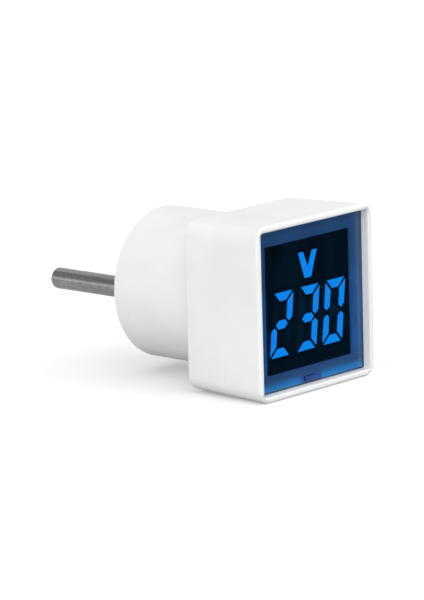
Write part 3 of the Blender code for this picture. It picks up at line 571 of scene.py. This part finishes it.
def tinted_window(name):
    """Smoky blue window that lets lamps through: clear over the face, graded round its border with
    painted light and shade, a painted bright strip low down and a painted dark line at its edge.
    """
    s = Shader(name, Transmission_Weight=1.0, IOR=1.45, Roughness=0.0, Specular_IOR_Level=0.2)
    split = s.add("SeparateXYZ")
    s.wire(s.place, split.inputs[0])
    x, z = split.outputs["X"], split.outputs["Z"]
    # painted light and shade: the border's blue changes with height
    border = s.ramp(s.spread(z, 0.0, 1.0, *BORDER_SPAN), BORDER_TINTS_AND_PAINTED_SHADE)
    tongue = s.band(x, *TONGUE_SPAN, TONGUE_SOFT)
    # painted light along the border's lowest strip; over the tongue the tongue's tint is used
    # instead
    low = s.spread(z, 1.0, 0.0, *LOWER_PAINTED_LIGHT_SPAN)
    border = s.blend(low, border, s.blend(tongue, LOWER_PAINTED_LIGHT, TONGUE_TINT))
    inside = s.product(s.band(x, -FACE_HIGH.x, FACE_HIGH.x, FACE_SOFT),
                       s.band(z, -FACE_HIGH.z, FACE_HIGH.z, FACE_SOFT))
    tint = s.blend(inside, border, FACE_TINT)
    smoke = s.noise(330.0, detail=3.0)
    tint = s.blend(s.spread(smoke, 0.0, 0.16, 0.4, 0.65), tint, SMOKE_TINT)
    # painted shade along the window's very edge
    clear_of_edge = s.product(s.band(x, -LENS_INSET, LENS_INSET, EDGE_SOFT),
                              s.band(z, -LENS_INSET, LENS_INSET, EDGE_SOFT))
    s.set("Base Color", s.blend(clear_of_edge, EDGE_PAINTED_SHADE, tint))
    s.bump((s.noise(900.0), 0.02, 0.02 * MM))
    s.let_lamps_through(LAMP_TINT)
    return s.mat


def milky_blue(name):
    """The window's plastic where it is thick: it scatters light and lets lamps through."""
    s = Shader(name, Roughness=0.5, Specular_IOR_Level=0.2)
    cloud = s.noise(500.0, detail=3.0)
    s.set("Base Color", s.ramp(cloud, [(0.3, (0.20, 0.32, 0.58)), (0.7, (0.27, 0.40, 0.66))]))
    s.let_lamps_through((0.9, 0.9, 0.9))
    return s.mat


def lit_blue(name):
    """Light guide lit from behind: even azure with a faint fall-off and grain."""
    s = Shader(name, Roughness=0.45, Emission_Strength=2.2)
    cloud = s.noise(380.0, detail=2.0)
    s.set("Base Color", s.ramp(cloud, [(0.3, (0.0, 0.16, 0.55)), (0.7, (0.0, 0.2, 0.6))]))
    s.set("Emission Color", s.ramp(cloud, [(0.25, (0.01, 0.44, 1.0)), (0.75, (0.01, 0.48, 1.0))]))
    return s.mat


def dark_face(name, colour, roughness):
    """Printed black film with a faint uneven sheen."""
    s = Shader(name, Specular_IOR_Level=0.12)
    cloud = s.noise(240.0, detail=3.0)
    lighter = tuple(c * 1.5 + 0.002 for c in colour)
    s.set("Base Color", s.ramp(cloud, [(0.35, colour), (0.65, lighter)]))
    s.set("Roughness", s.spread(cloud, roughness - 0.08, roughness + 0.08))
    s.bump((s.noise(3000.0), 0.04, 0.02 * MM))
    return s.mat


def circuit_board(name):
    """Green solder mask with fine copper tracks showing through."""
    s = Shader(name, Specular_IOR_Level=0.5)
    cells = s.add("TexVoronoi", feature="DISTANCE_TO_EDGE")
    cells.inputs["Scale"].default_value = 420.0
    s.wire(s.place, cells.inputs["Vector"])
    track = s.spread(cells.outputs["Distance"], 1.0, 0.0, 0.06, 0.10)
    tone = s.ramp(s.noise(300.0), [(0.3, (0.012, 0.10, 0.035)), (0.7, (0.02, 0.14, 0.05))])
    s.set("Base Color", s.blend(track, tone, (0.05, 0.24, 0.08)))
    s.set("Roughness", s.spread(s.noise(900.0), 0.28, 0.42))
    s.bump((track, 0.2, 0.04 * MM))
    return s.mat


def small_part(name, colour, roughness):
    """Moulded, lacquered or sleeved electronic parts."""
    s = Shader(name)
    grain = s.noise(1500.0, detail=3.0)
    dull = tuple(c * 0.8 for c in colour)
    s.set("Base Color", s.ramp(grain, [(0.35, dull), (0.65, colour)]))
    s.set("Roughness", s.spread(grain, max(roughness - 0.07, 0.05), roughness + 0.08))
    s.bump((grain, 0.1, 0.02 * MM))
    return s.mat


# ---------------------------------------------------------------- housing


def dress(ob, mat, slot_name, *nodes):
    """Material, body and the CAD nodes that a piece stands for. slot_name is not used."""
    ob.data.materials.clear()
    ob.data.materials.append(mat)
    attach(ob, BODY)
    if nodes:
        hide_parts(*nodes)
    return ob


def outer_half(y):
    """The head's half width at a depth: it narrows evenly towards the wall."""
    share = (y - Y_FRONT) / (Y_HEAD_BACK - Y_FRONT)
    return min(HEAD_HALF_FRONT + (HEAD_HALF_BACK - HEAD_HALF_FRONT) * share, HEAD_HIGH.x)


def head_housing(mat):
    """The square head with soft rims, its window opening, ledge, bosses and inner seats."""
    y_ledge_back = Y_FACE + LEDGE_THICKNESS
    y_seat = Y_FLANGE - GAP
    rim_half = outer_half(Y_FRONT + RIM_ROUND)
    profile = quarter_round(rim_half, HEAD_CORNER, Y_FRONT, RIM_ROUND, 7, True)
    wall_front, wall_back = Y_FRONT + RIM_ROUND, Y_HEAD_BACK - BACK_ROUND
    for share in (0.2, 0.4, 0.6, 0.8):
        y = wall_front + (wall_back - wall_front) * share
        profile.append((outer_half(y), HEAD_CORNER, y))
    profile += reversed(
        quarter_round(outer_half(wall_back), HEAD_CORNER, Y_HEAD_BACK, BACK_ROUND, 6, False))
    profile += [
        (SEAT_HALF, SEAT_CORNER, Y_HEAD_BACK),
        (SEAT_HALF, SEAT_CORNER, y_seat),
        (CAVITY_HALF, CAVITY_CORNER, y_seat),
        (CAVITY_HALF, CAVITY_CORNER, y_ledge_back),
        (LEDGE_HALF, INNER_CORNER, y_ledge_back),
        (LEDGE_HALF, INNER_CORNER, Y_FACE),
        (WINDOW_HALF, INNER_CORNER, Y_FACE),
    ]
    profile += reversed(
        quarter_round(WINDOW_HALF, INNER_CORNER, Y_FRONT, OPENING_ROUND, 6, True, inward=True))
    head = swept_square("head_housing", profile, closed=True)

    boss_end = BOARD_LOW.y - GAP
    screws = [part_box(f"board_screw_{number}") for number in (1, 2, 3, 4)]
    places = [(low + high) / 2 for low, high in screws]
    carve(head, [rod(f"board_boss_{i}", BOARD_BOSS_RADIUS, y_ledge_back - WELD, boss_end, place)
                 for i, place in enumerate(places)], "UNION")
    cuts = [rod(f"board_pilot_{i}", BOARD_PILOT_RADIUS, BOARD_LOW.y - BOARD_PILOT_DEPTH,
                BOARD_LOW.y, place) for i, place in enumerate(places)]
    cuts.append(block("lens_notch",
                      (TONGUE_LEFT - NOTCH_GAP, Y_FACE - WELD, -TONGUE_OUTER - NOTCH_GAP),
                      (TONGUE_RIGHT + NOTCH_GAP, TONGUE_END + GAP, -TONGUE_INNER + NOTCH_GAP)))
    for side in (-1, 1):
        low, high = span(side, ARM_INNER + GAP, ARM_BARB_OUTER + GAP)
        cuts.append(block(f"snap_pocket_{side}", (-ARM_HALF_WIDTH - GAP, ARM_TIP - GAP, low),
                          (ARM_HALF_WIDTH + GAP, ARM_BARB_BACK + GAP, high)))
    carve(head, cuts)
    return dress(settle_normals(head), mat, "white_plastic", "head_shell")


def plug_housing(mat):
    """The round plug body on its square flange: bore, snap arms, collars, bosses and ribs."""
    tip = PLUG_HIGH.y
    root = (Y_FLANGE + Y_HEAD_BACK) / 2
    profile = [(0.0, root), (PLUG_RADIUS, root)]
    for i in range(PLUG_RINGS + 1):
        profile.append((PLUG_RADIUS, Y_HEAD_BACK + (tip - PLUG_EDGE - Y_HEAD_BACK) * i / PLUG_RINGS))
    profile += corner_arc(PLUG_RADIUS, tip, PLUG_EDGE, PLUG_EDGE_STEPS)
    profile.append((0.0, tip))
    plug = turned("plug_housing", profile, (0, 0, 0), PLUG_SIDES)
    flange = swept_square("flange", [
        (FLANGE_HALF, CAVITY_CORNER, Y_FLANGE),
        (FLANGE_HALF, CAVITY_CORNER, Y_HEAD_BACK - FLANGE_INSET),
    ], closed=False)
    arms = []
    for side in (-1, 1):
        low, high = span(side, ARM_INNER, ARM_OUTER)
        arms.append(block(f"snap_arm_{side}", (-ARM_HALF_WIDTH, ARM_TIP, low),
                          (ARM_HALF_WIDTH, Y_FLANGE + WELD, high)))
        low, high = span(side, ARM_OUTER - GAP, ARM_BARB_OUTER)
        barb_half = ARM_HALF_WIDTH - EDGE_BREAK
        arms.append(block(f"snap_barb_{side}", (-barb_half, ARM_TIP + EDGE_BREAK, low),
                          (barb_half, ARM_BARB_BACK, high)))
    carve(plug, [flange] + arms, "UNION")
    inner = tip - REAR_WALL
    carve(plug, [rod("bore", PLUG_BORE, Y_FLANGE - OVERCUT, inner, sides=BORE_SIDES)])
    added, holes = [], []
    for side in (-1, 1):
        pin_place = Vector((side * PIN_X, 0, 0))
        screw_place = Vector((0, 0, side * CARRIER_SCREW_OFFSET))
        added.append(rod(f"pin_collar_{side}", COLLAR_RADIUS, inner - COLLAR_HEIGHT, inner + WELD,
                         pin_place))
        added.append(rod(f"carrier_boss_{side}", BOSS_RADIUS, inner - BOSS_HEIGHT, inner + WELD,
                         screw_place))
        ribs = (("over", SUPPLY_HIGH.z + GAP, RIB_OVER_OUTER),
                ("under", SUPPLY_LOW.z - GAP - RIB_THICKNESS, RIB_UNDER_OUTER))
        for name, bottom, outer in ribs:
            left, right = span(side, RIB_INNER, outer)
            added.append(block(f"rib_{name}_{side}", (left, RIB_FRONT, bottom),
                               (right, SUPPLY_HIGH.y + GAP, bottom + RIB_THICKNESS)))
        holes.append(rod(f"pin_hole_{side}", PIN_RADIUS + PIN_FIT, inner - BOSS_HEIGHT,
                         tip + OVERCUT, pin_place, sides=PIN_HOLE_SIDES))
        holes.append(rod(f"carrier_pilot_{side}", BOSS_PILOT_RADIUS, inner - BOSS_HEIGHT - OVERCUT,
                         inner + BOSS_PILOT_EXTRA, screw_place))
    carve(plug, added, "UNION")
    carve(plug, holes)
    return dress(settle_normals(plug), mat, "white_plastic", "rear_housing")


def window_pane(mat, tongue_mat):
    """The tinted window with a fine broken edge, and the milkier snap tongue behind it."""
    back = Y_LENS + LENS_THICKNESS
    profile = quarter_round(LENS_HALF, INNER_CORNER, Y_LENS, LENS_EDGE, 3, True)
    profile.append((LENS_HALF, INNER_CORNER, back))
    pane = swept_square("window_pane", profile, closed=False)
    dress(settle_normals(pane), mat, "blue_window", "window_lens")
    middle = (TONGUE_INNER + TONGUE_OUTER) / 2
    tongue = block("window_tongue", (TONGUE_LEFT, back - FIT, -TONGUE_OUTER),
                   (TONGUE_RIGHT, TONGUE_END, -TONGUE_INNER))
    barb = block("barb", (TONGUE_LEFT + FIT, TONGUE_END - BARB_START, -middle),
                 (TONGUE_RIGHT - FIT, TONGUE_END - BARB_STOP, BARB_DEPTH - TONGUE_INNER))
    carve(tongue, [barb], "UNION")
    dress(settle_normals(tongue), tongue_mat, "blue_window")


def plug_pin(side, mat):
    """A solid round pin: rounded tip, plain shank, shoulder and tail."""
    name = "left" if side < 0 else "right"
    tip, tail = PIN_HIGH.y, PIN_LOW.y
    low = SHOULDER_Y - SHOULDER_THICKNESS
    profile = [
        (0.0, tail),
        (TAIL_RADIUS - TAIL_CHAMFER, tail),
        (TAIL_RADIUS, tail + TAIL_CHAMFER),
        (TAIL_RADIUS, low),
        (SHOULDER_RADIUS, low),
        (SHOULDER_RADIUS, SHOULDER_Y),
        (PIN_RADIUS, SHOULDER_Y),
    ]
    shank_end = tip - PIN_TIP_ROUND
    for i in range(1, PIN_RINGS + 1):
        profile.append((PIN_RADIUS, SHOULDER_Y + (shank_end - SHOULDER_Y) * i / PIN_RINGS))
    profile += corner_arc(PIN_RADIUS, tip, PIN_TIP_ROUND, PIN_TIP_STEPS)
    profile.append((0.0, tip))
    pin = turned(f"plug_pin_{name}", profile, (side * PIN_X, 0, 0), PIN_SIDES)
    return dress(settle_normals(pin), mat, "nickel_pin", f"contact_pin_{name}")


# ---------------------------------------------------------------- display


def slanted(points, centre):
    """An outline leant to the right as it rises, and moved to its place."""
    return [(centre.x + u + SLANT * v, centre.y + v) for u, v in points]


def mirrored(outline, across, up):
    """An outline flipped about the digit's own middle lines."""
    return [(across * u, up * v) for u, v in outline]


def digit_segments(centre):
    """The seven outlines of one digit, named a to g clockwise from the top."""
    w, h, t, e = DIGIT_HALF_WIDTH, DIGIT_HALF_HEIGHT, STROKE, MITRE_GAP
    top = [(-(w - e), h), (w - e, h), (w - e - t, h - t), (-(w - e - t), h - t)]
    upper = [(w, h - e), (w - t, h - e - t), (w - t, TIP_RISE + TIP_SLOPE),
             (w - t / 2, TIP_RISE), (w, TIP_RISE + TIP_SLOPE)]
    tip, shoulder = w - t / 2 - e, w - t - e
    middle = [(-tip, 0), (-shoulder, t / 2), (shoulder, t / 2),
              (tip, 0), (shoulder, -t / 2), (-shoulder, -t / 2)]
    outlines = {
        "a": top,
        "b": upper,
        "c": mirrored(upper, 1, -1),
        "d": mirrored(top, 1, -1),
        "e": mirrored(upper, -1, -1),
        "f": mirrored(upper, -1, 1),
        "g": middle,
    }
    return {key: slanted(outline, centre) for key, outline in outlines.items()}


def unit_outline():
    """The letter that stands for volts."""
    x = UNIT_CENTRE_X
    return [
        (x - UNIT_HALF_TOP, UNIT_TOP),
        (x - UNIT_HALF_TOP + UNIT_STROKE, UNIT_TOP),
        (x, UNIT_NOTCH),
        (x + UNIT_HALF_TOP - UNIT_STROKE, UNIT_TOP),
        (x + UNIT_HALF_TOP, UNIT_TOP),
        (x + UNIT_HALF_FOOT, UNIT_BOTTOM),
        (x - UNIT_HALF_FOOT, UNIT_BOTTOM),
    ]


def point_outline():
    """The decimal point, which this reading leaves dark."""
    turn = 2 * math.pi / POINT_SIDES
    return [(POINT_CENTRE.x + POINT_RADIUS * math.cos(turn * i),
             POINT_CENTRE.y + POINT_RADIUS * math.sin(turn * i)) for i in range(POINT_SIDES)]


def lit_and_dark_outlines():
    """The shapes that glow for this reading, and those that stay dark."""
    lit, dark = [unit_outline()], [point_outline()]
    for place, (_, shown) in enumerate(READING):
        centre = DIGIT_CENTRE + Vector(((place - 1) * DIGIT_PITCH, 0.0))
        for key, outline in digit_segments(centre).items():
            (lit if key in shown else dark).append(outline)
    return lit, dark


def display(face_mat, lit_mat, dark_mat, guide_mat):
    """The black face, the shapes in its windows, and the light guide that frames it.

    The guide's front is a raised rim round the face, and its plate lies behind.
    """
    lit, dark = lit_and_dark_outlines()
    low, high = FACE_LOW, FACE_HIGH
    face = block("display_face", low, high)
    carve(face, [prism("windows", lit + dark, Y_FACE - OVERCUT, Y_FACE + OVERCUT)])
    dress(settle_normals(face), face_mat, "display_black", "display_mask")
    sunk = Y_FACE + SEGMENT_SUNK
    back = GUIDE_HIGH.y - SEGMENT_BACK_GAP
    dress(prism("lit_segments", lit, sunk, back), lit_mat, "segment_blue")
    dress(prism("unlit_segments", dark, sunk, back), dark_mat, "segment_blue")
    half, floor = GUIDE_HIGH.x, GUIDE_HIGH.y - GUIDE_PLATE
    guide = swept_square("light_guide", [
        (high.x + FIT, INNER_CORNER, floor),
        (high.x + FIT, INNER_CORNER, Y_FACE + FIT),
        (GUIDE_RIM_HALF, INNER_CORNER, Y_FACE + FIT),
        (GUIDE_RIM_HALF, INNER_CORNER, floor),
        (half, INNER_CORNER, floor),
        (half, INNER_CORNER, GUIDE_HIGH.y),
    ], closed=False)
    dress(settle_normals(guide), guide_mat, "segment_blue", "segment_diffuser")


# ---------------------------------------------------------------- carried-over parts


def paint_inner_parts():
    """Every CAD node that still shows its own mesh gets a procedural material by its slot."""
    slots = {part["node"]: part["material_slot"] for part in frame["record"]["subparts"]}
    paints = {
        "screw_steel": metal("zinc_screw", (0.62, 0.62, 0.60), 0.34),
        "tinned_lead": metal("tinned_wire", (0.75, 0.75, 0.74), 0.30),
        "reflector_white": moulded_plastic("reflector_plastic", (0.80, 0.80, 0.78), 0.6,
                                           specks=False),
        "carrier_grey": moulded_plastic("carrier_plastic", (0.35, 0.35, 0.34), 0.55,
                                        specks=False),
        "board_green": circuit_board("solder_mask"),
        "epoxy_black": small_part("moulded_epoxy", (0.018, 0.018, 0.019), 0.45),
        "led_die": small_part("chip_resin", (0.75, 0.72, 0.35), 0.35),
        "resistor_tan": small_part("resistor_lacquer", (0.45, 0.33, 0.20), 0.45),
        "diode_glass": small_part("amber_glass", (0.45, 0.12, 0.05), 0.15),
        "capacitor_yellow": small_part("film_box", (0.75, 0.50, 0.05), 0.4),
        "capacitor_sleeve": small_part("shrink_sleeve", (0.03, 0.035, 0.06), 0.3),
        "wire_brown": small_part("brown_insulation", (0.12, 0.045, 0.02), 0.4),
        "wire_blue": small_part("blue_insulation", (0.02, 0.10, 0.40), 0.4),
    }
    for name, ob in frame["nodes"].items():
        paint = paints.get(slots[name])
        if paint is not None:
            for place in ob.material_slots:
                place.material = paint


# ---------------------------------------------------------------- stage, light and camera


def pale_floor():
    """A large white floor just under the head. Seen from the object it is a darker grey.

    A black card lies before the display, which only mirror-like surfaces can see: a painted dark
    reflection. To them the rest of the floor glows: a painted reflection of light.
    """
    bm = bmesh.new()
    bmesh.ops.create_grid(bm, x_segments=8, y_segments=8, size=FLOOR_REACH)
    bmesh.ops.translate(bm, verts=bm.verts, vec=(0, 0, HEAD_LOW.z - FLOOR_CLEARANCE))
    floor = link("floor", bm)
    s = Shader("pale_floor", Roughness=0.9, Specular_IOR_Level=0.0)
    paper = s.ramp(s.noise(3.0), [(0.3, (0.91, 0.91, 0.91)), (0.7, (0.93, 0.93, 0.93))])
    path = s.add("LightPath")
    seen = path.outputs["Is Camera Ray"]
    split = s.add("SeparateXYZ")
    s.wire(s.place, split.inputs[0])
    sides = [s.band(split.outputs[axis], low, high, CARD_SOFT) for axis, low, high in CARD]
    mirrored = path.outputs["Is Glossy Ray"]
    card = s.product(s.product(*sides), mirrored)
    s.set("Base Color", s.blend(card, s.blend(seen, FLOOR_BOUNCE, paper), (0.0, 0.0, 0.0)))
    # painted reflection: mirror-like surfaces see the floor glow white, and the card black
    s.set("Emission Color", s.blend(card, (1.0, 1.0, 1.0), (0.0, 0.0, 0.0)))
    glow = s.add("Math", operation="ADD")
    s.wire(s.spread(seen, 0.0, FLOOR_GLOW, 0.0, 1.0), glow.inputs[0])
    s.wire(s.spread(mirrored, 0.0, FLOOR_REFLECTED_GLOW, 0.0, 1.0), glow.inputs[1])
    s.set("Emission Strength", glow.outputs[0])
    floor.data.materials.append(s.mat)


def area_light(name, azimuth, elevation, size, power, matt):
    """A soft square lamp one metre away that looks at the middle of the object."""
    data = bpy.data.lights.new(name, "AREA")
    data.shape = "SQUARE"
    data.size = size
    data.energy = power
    lamp = bpy.data.objects.new(name, data)
    away = direction(math.radians(azimuth), math.radians(elevation))
    lamp.location = LIGHT_AIM + away
    lamp.rotation_euler = (-away).to_track_quat("-Z", "Y").to_euler()
    lamp.visible_diffuse = matt
    bpy.context.scene.collection.objects.link(lamp)


def direction(azimuth, elevation):
    """Unit vector towards an azimuth, which is 0 in front of the display, and an elevation."""
    flat = math.cos(elevation)
    return Vector((math.sin(azimuth) * flat, -math.cos(azimuth) * flat, math.sin(elevation)))


def studio():
    """Bright walls before the object and along the horizon, a dimmer room behind it."""
    world = bpy.data.worlds.new("studio")
    bpy.context.scene.world = world
    world.use_nodes = True
    tree = world.node_tree
    toward = tree.nodes.new("ShaderNodeSeparateXYZ")
    tree.links.new(tree.nodes.new("ShaderNodeTexCoord").outputs["Generated"], toward.inputs[0])
    total = None
    for axis, dark_at, bright_at, strength in WORLD_GLOWS:
        glow = tree.nodes.new("ShaderNodeMapRange")
        glow.inputs["From Min"].default_value = dark_at
        glow.inputs["From Max"].default_value = bright_at
        glow.inputs["To Max"].default_value = strength
        tree.links.new(toward.outputs[axis], glow.inputs["Value"])
        add = tree.nodes.new("ShaderNodeMath")
        add.inputs[1].default_value = WORLD_STRENGTH
        tree.links.new(glow.outputs["Result"], add.inputs[0])
        if total is not None:
            tree.links.new(total, add.inputs[1])
        total = add.outputs["Value"]
    background = tree.nodes["Background"]
    background.inputs["Color"].default_value = (1.0, 1.0, 1.0, 1.0)
    tree.links.new(total, background.inputs["Strength"])
    for lamp in LIGHTS:
        area_light(*lamp)
    bpy.context.scene.view_settings.view_transform = "Standard"
    bpy.context.scene.view_settings.look = "None"


def camera():
    """A long lens to the left of the display and a little above it."""
    data = bpy.data.cameras.new("camera")
    data.lens = CAMERA_LENS
    data.sensor_width = 36.0
    data.clip_start = 0.01
    ob = bpy.data.objects.new("camera", data)
    bpy.context.scene.collection.objects.link(ob)
    back = direction(CAMERA_AZIMUTH, CAMERA_ELEVATION)
    ob.location = CAMERA_AIM + back * CAMERA_DISTANCE
    level = (-back).to_track_quat("-Z", "Y").to_matrix()
    ob.rotation_euler = (level @ Matrix.Rotation(CAMERA_ROLL, 3, "Z")).to_euler()
    bpy.context.scene.camera = ob


# ---------------------------------------------------------------- the model

white = moulded_plastic("white_abs", (0.86, 0.86, 0.855), 0.46)
head_housing(white)
plug_housing(white)
window_pane(tinted_window("blue_tinted_window"), milky_blue("blue_tongue"))
display(
    dark_face("black_face", (0.05, 0.11, 0.095), 0.4),
    lit_blue("lit_segment"),
    dark_face("unlit_segment", (0.06, 0.17, 0.17), 0.5),
    moulded_plastic("guide_plastic", (0.84, 0.84, 0.85), 0.5, specks=False),
)
pin_metal = nickel("nickel_plate")
plug_pin(-1, pin_metal)
plug_pin(1, pin_metal)
paint_inner_parts()
pale_floor()
studio()
camera()
